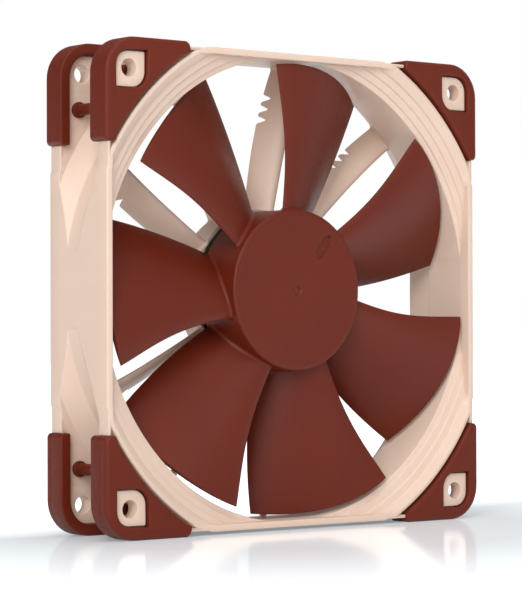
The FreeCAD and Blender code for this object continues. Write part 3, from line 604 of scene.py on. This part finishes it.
def duct_angles():
    """Angles round the duct, with one on each place where its section changes kind."""
    special = [math.degrees(math.atan((RECESS_START + share * RECESS_SLOPE) / SIDE_HALF))
               for share in (-1, -0.5, 0, 0.5, 1)]
    for half, radii in ((MOUTH_HALF, [r for r, _ in INLET]), (EXIT_HALF, [EXIT_RADIUS]),
                        (SIDE_HALF, [60.0, 61.75, 63.4, 64.4]), (SIDE_HALF - SIDE_RECESS, [66.0, RING])):
        special += [math.degrees(math.acos(half / radius)) for radius in radii]
    eighth = [0.6 * k for k in range(75)] + special
    eighth = sorted(set(round(a, 3) for a in eighth))
    kept = [a for i, a in enumerate(eighth) if a in [round(s, 3) for s in special]
            or all(abs(a - s) > 0.15 for s in special)]
    quarter = [-a for a in reversed(kept)] + [a for a in kept if a > 0] + [45.0]
    quarter = sorted(set(quarter) - {-45.0})
    return [axis + a for axis in (0, 90, 180, 270) for a in quarter]


# ------------------------------------------------------------------ plates with rounded edges
def plate(loops, low, high, low_edge, high_edge, steps=4, hole_edge=0.12):
    """Points and faces of a plate between two depths, from an outline and its holes.

    Each edge radius is a number, or a list with one number for each point of the first outline.
    The holes have an edge radius of their own."""
    points = []
    faces = []
    caps = {0: [], 1: []}
    for index, loop in enumerate(loops):
        loop = [Vector(p) for p in loop]
        count = len(loop)
        inward = -1 if index == 0 else 1
        rings = []
        for end, (depth, edge, sign) in enumerate(((low, low_edge, 1), (high, high_edge, -1))):
            if index:
                radii = [hole_edge] * count
            else:
                radii = edge if hasattr(edge, "__len__") else [edge] * count
            order = range(steps + 1) if end == 0 else range(steps, -1, -1)
            for k in order:
                turn = math.pi / 2 * k / steps
                moved = grown(loop, [inward * r * (1 - math.sin(turn)) for r in radii])
                rise = sign * (1 - math.cos(turn))
                rings.append([(p.x, depth + rise * r, p.y) for p, r in zip(moved, radii)])
        start = len(points)
        for ring in rings:
            points.extend(ring)
        side = grid_faces(len(rings), count, closed_columns=True, start=start)
        area = sum(loop[i - 1].cross(loop[i]) for i in range(count))
        flip = (area > 0) != (index == 0)
        faces += [tuple(reversed(f)) for f in side] if not flip else side
        caps[0].append([start + i for i in range(count)])
        caps[1].append([start + (len(rings) - 1) * count + i for i in range(count)])
    for end, rows in caps.items():
        flat = [[Vector((points[i][0], points[i][2], 0)) for i in row] for row in rows]
        order = [i for row in rows for i in row]
        for triangle in tessellate_polygon(flat):
            a, b, c = [order[i] for i in triangle]
            pa, pb, pc = [Vector((points[i][0], points[i][2])) for i in (a, b, c)]
            up = (pb - pa).cross(pc - pa) > 0
            faces.append((a, b, c) if up == (end == 0) else (a, c, b))
    return points, faces


def circle(x, y, radius, count=40):
    return [(x + radius * math.cos(2 * math.pi * k / count), y + radius * math.sin(2 * math.pi * k / count))
            for k in range(count)]


def arc(radius, start, end, count=24):
    """Points on a circle about the fan axis."""
    return [(radius * math.cos(start + (end - start) * k / count),
             radius * math.sin(start + (end - start) * k / count)) for k in range(count + 1)]


HOLE = 52.5
HOLE_RADIUS = 2.15
LEAF = HOLE - 0.25
BOSS_FACE = 11.85
BOSS_HALF = 4.3
BOSS_ROUND = 3.8
WINDOW_HALF = 4.6
WINDOW_CORNER = 4.1
FLANGE_HALF = 57.2
STRIP_INNER = 58.0
PAD_END = 34.9
CORNERS = [("upper_left", -1, 1), ("upper_right", 1, 1), ("lower_right", 1, -1), ("lower_left", -1, -1)]
SIDES = [("front", -1), ("rear", 1)]


def leaf(half, far_round, near_round):
    """Square outline with two opposite corners well rounded, on the diagonal of the fan."""
    low, high = LEAF - half, LEAF + half
    return rounded([(low, low, far_round), (high, low, near_round), (high, high, far_round),
                    (low, high, near_round)], steps=10)


def placed(made, sx, sy, sz):
    """Points and faces mirrored into one corner."""
    points, faces = made
    points = [(x * sx, y * sy, z * sz) for x, y, z in points]
    if sx * sy * sz < 0:
        faces = [tuple(reversed(f)) for f in faces]
    return points, faces


strip_side = SIDE_HALF - SIDE_RECESS - 0.02
ring_inside = RING - 0.6
turn_at_side = math.acos(strip_side / ring_inside)
flange_outline = rounded([(strip_side, PAD_END, 0.25), (FLANGE_HALF, PAD_END, 0.2),
                          (FLANGE_HALF, FLANGE_HALF, 6.0), (PAD_END, FLANGE_HALF, 0.2),
                          (PAD_END, strip_side, 0.25),
                          (ring_inside * math.sin(turn_at_side), strip_side, 0)], steps=10)
flange_outline += arc(ring_inside, math.pi / 2 - turn_at_side, turn_at_side)[1:]
flange_plate = plate([flange_outline, circle(HOLE, HOLE, HOLE_RADIUS + 0.5)],
                     -LOWERED, -FLANGE - 0.02, 0.2, 0.3)
boss_plate = plate([leaf(BOSS_HALF, BOSS_ROUND, 0.35), circle(HOLE, HOLE, HOLE_RADIUS)],
                   -BOSS_FACE, -FLANGE, 0.15, 0.2, hole_edge=0.2)
strip_outline = rounded([(STRIP_INNER, 29.2, 0.1), (strip_side, 29.2, 0.1), (strip_side, PAD_END, 0.25),
                         (STRIP_INNER, PAD_END, 0.25)], steps=4)
strip_plate = plate([strip_outline], -RIM + 0.02, -FLANGE - 0.04, 0.3, 0.25)
swapped = [(y, x) for x, y in strip_outline][::-1]
strip_across = plate([swapped], -RIM + 0.02, -FLANGE - 0.04, 0.3, 0.25)

sections = [rounded(duct_section(a), steps=3) for a in duct_angles()]
points = []
for degrees, section in zip(duct_angles(), sections):
    points += [around(radius, degrees, depth) for radius, depth in section]
add_piece("frame_moulding", points,
          grid_faces(len(sections), len(sections[0]), closed_rows=True, closed_columns=True),
          "housing", "frame_plastic", ["frame"])
for side_name, side in SIDES:
    for corner_name, sx, sz in CORNERS:
        tag = side_name + "_" + corner_name
        points, faces = [], []
        for made in (flange_plate, boss_plate, strip_plate, strip_across):
            more, sides = placed(made, sx, -side, sz)
            faces += [tuple(i + len(points) for i in f) for f in sides]
            points += more
        add_piece("frame_corner_" + tag, points, faces, "housing", "frame_plastic", ["frame"])

# ------------------------------------------------------------------ corner pads
PAD_HALF = 60.0
PAD_FACE = 13.05
PAD_INNER = 6.1
PAD_RING = 67.2
PAD_ROUND = 1.15
HOLLOW_ROUND = 0.95
WINDOW_EDGE = 0.45
pad_gap = math.sqrt(PAD_RING ** 2 - PAD_END ** 2)
wall_start = math.sqrt(PAD_RING ** 2 - FLANGE_HALF ** 2)
turn_at_end = math.asin(PAD_END / PAD_RING)

outer_path = rounded([(pad_gap, PAD_END, 0), (PAD_HALF, PAD_END, 1.2), (PAD_HALF, PAD_HALF, 8.8),
                      (PAD_END, PAD_HALF, 1.2), (PAD_END, pad_gap, 0)], closed=False, steps=12)
tips = [Vector(outer_path[0]), Vector(outer_path[-1])]
leg_end = [tuple(tips[0].lerp(Vector(outer_path[1]), k / 5)) for k in range(5)]
outer_path = leg_end + outer_path[1:-1] + [(y, x) for x, y in reversed(leg_end)]
hollow = arc(PAD_RING, math.pi / 2 - turn_at_end, turn_at_end, 60)[1:-1]
pad_outline = outer_path + hollow
pad_radii = []
for i, point in enumerate(pad_outline):
    from_tip = min((Vector(point) - tip).length for tip in tips)
    pad_radii.append(min(PAD_ROUND if i < len(outer_path) else HOLLOW_ROUND, 0.08 + 0.45 * from_tip))
inner_path = rounded([(pad_gap, PAD_END, 0), (FLANGE_HALF, wall_start, 0), (FLANGE_HALF, FLANGE_HALF, 6.0),
                      (wall_start, FLANGE_HALF, 0), (PAD_END, pad_gap, 0)], closed=False, steps=12)
wall_outline = outer_path + inner_path[1:-1][::-1]
pad_plate = plate([pad_outline, leaf(WINDOW_HALF, WINDOW_CORNER, 0.3)],
                  -PAD_FACE, -LOWERED - 0.02, pad_radii, 0.02, 6, WINDOW_EDGE)
wall_plate = plate([wall_outline], -LOWERED, -PAD_INNER, 0.02, 0.4, 5)

PEG_NEAR = 43.7
PEG_FAR = 53.6
PEG_RADIUS = 1.4
PEG_TIP = 1.2
PEG_SIDES = 30
COLLAR_RADIUS = 1.98
COLLAR_FRONT = 7.1
peg_profile = rounded([(0.2, -LOWERED - 0.5, 0), (PEG_RADIUS, -LOWERED - 0.5, 0), (PEG_RADIUS, -8.5, 0),
                       (COLLAR_RADIUS, -FLANGE, 0.15), (COLLAR_RADIUS, -COLLAR_FRONT, 0.25),
                       (PEG_RADIUS, -COLLAR_FRONT, 0.1), (PEG_RADIUS, -PEG_TIP, 0.6), (0.2, -PEG_TIP, 0)],
                      closed=False, steps=5)
peg_turns = [360 / PEG_SIDES * k for k in range(PEG_SIDES)]
for side_name, side in SIDES:
    for corner_name, sx, sz in CORNERS:
        tag = side_name + "_" + corner_name
        parts = [placed(pad_plate, sx, -side, sz), placed(wall_plate, sx, -side, sz)]
        for across, up in ((PEG_FAR, PEG_NEAR), (PEG_NEAR, PEG_FAR)):
            rod = [(across + x, y, up + z) for x, y, z in lathe(peg_profile, peg_turns)]
            rows = len(peg_profile)
            skin = grid_faces(PEG_SIDES, rows, closed_rows=True)
            skin.append(tuple(i * rows for i in range(PEG_SIDES)))
            skin.append(tuple(i * rows + rows - 1 for i in reversed(range(PEG_SIDES))))
            parts.append(placed((rod, skin), sx, -side, sz))
        points, faces = [], []
        for more, sides in parts:
            faces += [tuple(i + len(points) for i in f) for f in sides]
            points += more
        add_piece("corner_pad_" + tag, points, faces, "housing", "pad_silicone", ["pad_" + tag], 40)

# ------------------------------------------------------------------ guide vanes
VANE_ANGLES = [52.0, 86.5, 120.0, 154.5, 186.0, 217.5, 249.5, 282.5, 315.0, 348.0, 20.0]
BASE_RADIUS = 20.8
VANE_REAR = 12.0
NOTCHES = [44.9, 47.85, 50.8]
NOTCH_DEPTH = 1.6
NOTCH_HALF = 0.9
STRETCH_START = 54.0
VANE_FILLET = 0.7
VANE_SINK = 0.3


def vane_foil(radius):
    """Foil of a guide vane at a radius, in the same terms as a blade's."""
    u = (radius - BASE_RADIUS) / (BORE - BASE_RADIUS)
    rear = -4.1 * u - 2.3 * u * u
    return (rear - bezier([10.1, 5.0], u), rear, bezier([5.0, 5.4], u), VANE_REAR, -0.8, 1.3, 0.8)


def vane_end(radius):
    """Share of the chord left at a radius, where notches bite into the rear edge."""
    bite = 0.0
    for middle in NOTCHES:
        off = math.hypot((radius - middle) / NOTCH_HALF, 0.12)
        bite = max(bite, NOTCH_DEPTH * smooth(-0.35, 1.0, 1 - off) if off < 1.3 else 0.0)
    return 1 - bite / (VANE_REAR - 5.3)


vane_radii = stations(BASE_RADIUS - 0.4, BORE, (0, 0.4, 0.45, 0.5, 0.65, 0.85, 1.1),
                      (0.9, 0.7, 0.5, 0.3, 0.2, 0.12, 0.05, 0.0), 1.6)
for middle in NOTCHES:
    vane_radii += [middle + 0.15 * k for k in range(-9, 10)]
vane_radii = sorted(set(round(r, 3) for r in vane_radii))
for number, axis in enumerate(VANE_ANGLES):
    points = []
    for radius in vane_radii:
        end = vane_end(radius)
        outline = foil_outline(vane_foil(radius), radius, 14, end)
        growth, lead = [], []
        for i, (across, depth) in enumerate(outline):
            start = vane_foil(radius)[0]
            wall = exit_wall(axis + start + math.degrees(across / radius), depth) + VANE_SINK
            actual = radius
            if radius > STRETCH_START:
                actual += (radius - STRETCH_START) * (wall - BORE) / (BORE - STRETCH_START)
            root = fillet_growth(actual - BASE_RADIUS, VANE_FILLET)
            growth.append(root + fillet_growth(wall - VANE_SINK - actual, VANE_FILLET))
            lead.append((actual, vane_foil(actual)[0]))
        for (across, depth), (actual, start) in zip(grown(outline, growth), lead):
            degrees = axis + start + math.degrees(across / actual)
            points.append(around(actual, degrees, min(depth, VANE_REAR + 0.1)))
    columns = len(points) // len(vane_radii)
    add_piece("duct_vane_%02d" % (number + 1), points, capped_loft(len(vane_radii), columns), "housing",
              "frame_plastic", ["guide_vane_%02d" % (number + 1)], 50)

# ------------------------------------------------------------------ floor, light and camera
FLOOR = -60.0
PAINTED_GLOW_NEAR_FAN = 0.22


def add_floor():
    """Wide pale floor with a painted glow. It glows to pure white far off and behind the fan, fading into
    the backdrop, and glows less near and in front of the fan, which paints shade on the floor round it. Only
    camera and glossy rays see the glow.
    """
    paint = Paint("studio_floor", 0.1, specular=0.2)
    # faint blue colour of the painted floor glow
    paint.shader.inputs["Emission Color"].default_value = (0.86, 0.98, 1.06, 1)
    away = paint.tree.nodes.new("ShaderNodeVectorMath")
    away.operation = "LENGTH"
    paint.link(paint.place, away.inputs[0])
    apart = paint.tree.nodes.new("ShaderNodeSeparateXYZ")
    paint.link(paint.place, apart.inputs["Vector"])
    seen = paint.tree.nodes.new("ShaderNodeLightPath")
    # painted glow: full white far from the fan and behind it, dimmer near and in front of it, painted shade
    # on the floor round the fan
    far = paint.spread(away.outputs["Value"], PAINTED_GLOW_NEAR_FAN, 1.0, 0.09, 0.25)
    behind = paint.spread(apart.outputs["Y"], PAINTED_GLOW_NEAR_FAN, 1.0, 0.01, 0.05)
    painted_glow = paint.arithmetic("MAXIMUM", far, behind)
    shown = paint.arithmetic("MAXIMUM", seen.outputs["Is Camera Ray"], seen.outputs["Is Glossy Ray"])
    paint.link(paint.arithmetic("MULTIPLY", painted_glow, shown), paint.shader.inputs["Emission Strength"])
    cloud = paint.noise(300.0, 2.0)
    paint.colour(paint.ramp(cloud, (0.3, linear(243, 244, 245)), (0.7, linear(246, 247, 248))))
    mesh = bpy.data.meshes.new("studio_floor")
    wide = 2.5
    low = FLOOR * MM
    mesh.from_pydata([(-wide, -wide, low), (wide, -wide, low), (wide, wide, low), (-wide, wide, low)], [],
                     [(0, 1, 2, 3)])
    mesh.materials.append(paint.material)
    floor = bpy.data.objects.new("studio_floor", mesh)
    bpy.context.scene.collection.objects.link(floor)


def add_light(name, place, size, power):
    """Soft rectangular light that faces the fan."""
    light = bpy.data.lights.new(name, "AREA")
    light.shape = "RECTANGLE"
    light.size, light.size_y = size
    light.energy = power
    obj = bpy.data.objects.new(name, light)
    bpy.context.scene.collection.objects.link(obj)
    obj.location = Vector(place)
    obj.rotation_euler = (-Vector(place)).to_track_quat("-Z", "Y").to_euler()


add_floor()
world = bpy.data.worlds.new("studio")
bpy.context.scene.world = world
world.use_nodes = True
tree = world.node_tree
backdrop = tree.nodes["Background"]
backdrop.inputs["Color"].default_value = (1, 1, 1, 1)
backdrop.inputs["Strength"].default_value = 1.0
soft = tree.nodes.new("ShaderNodeBackground")
heading = tree.nodes.new("ShaderNodeTexCoord")
split = tree.nodes.new("ShaderNodeSeparateXYZ")
fall = tree.nodes.new("ShaderNodeMapRange")
fall.inputs["From Min"].default_value = -1.0
fall.inputs["From Max"].default_value = 1.0
fall.inputs["To Min"].default_value = 0.56
fall.inputs["To Max"].default_value = 0.34
tree.links.new(heading.outputs["Generated"], split.inputs["Vector"])
tree.links.new(split.outputs["Y"], fall.inputs["Value"])
tree.links.new(fall.outputs["Result"], soft.inputs["Strength"])
seen = tree.nodes.new("ShaderNodeLightPath")
choice = tree.nodes.new("ShaderNodeMixShader")
tree.links.new(seen.outputs["Is Camera Ray"], choice.inputs[0])
tree.links.new(soft.outputs["Background"], choice.inputs[1])
tree.links.new(backdrop.outputs["Background"], choice.inputs[2])
tree.links.new(choice.outputs["Shader"], tree.nodes["World Output"].inputs["Surface"])

add_light("key_left", (-0.86, -0.7, 0.52), (0.5, 0.9), 10.6)
add_light("top", (-0.05, -0.1, 0.8), (0.6, 0.6), 2.4)
add_light("front_soft", (0.2, -0.85, 0.4), (0.5, 0.5), 1.5)
add_light("edge_right", (0.95, 0.15, 0.2), (0.35, 0.8), 3.0)

camera = bpy.data.cameras.new("camera")
camera.lens = 145.30
camera.sensor_width = 36.0
camera.clip_start = 0.01
camera.clip_end = 20.0
camera_object = bpy.data.objects.new("camera", camera)
bpy.context.scene.collection.objects.link(camera_object)
right = Vector((0.78294, -0.62210, -0.00287))
up = Vector((-0.00432, -0.01006, 0.99995))
back = right.cross(up)
camera_object.matrix_world = Matrix(((right.x, up.x, back.x, -0.39073), (right.y, up.y, back.y, -0.48767),
                                     (right.z, up.z, back.z, -0.00999), (0, 0, 0, 1)))
bpy.context.scene.camera = camera_object
bpy.context.scene.view_settings.view_transform = "Standard"

# ------------------------------------------------------------------ view layer update
bpy.context.view_layer.update()
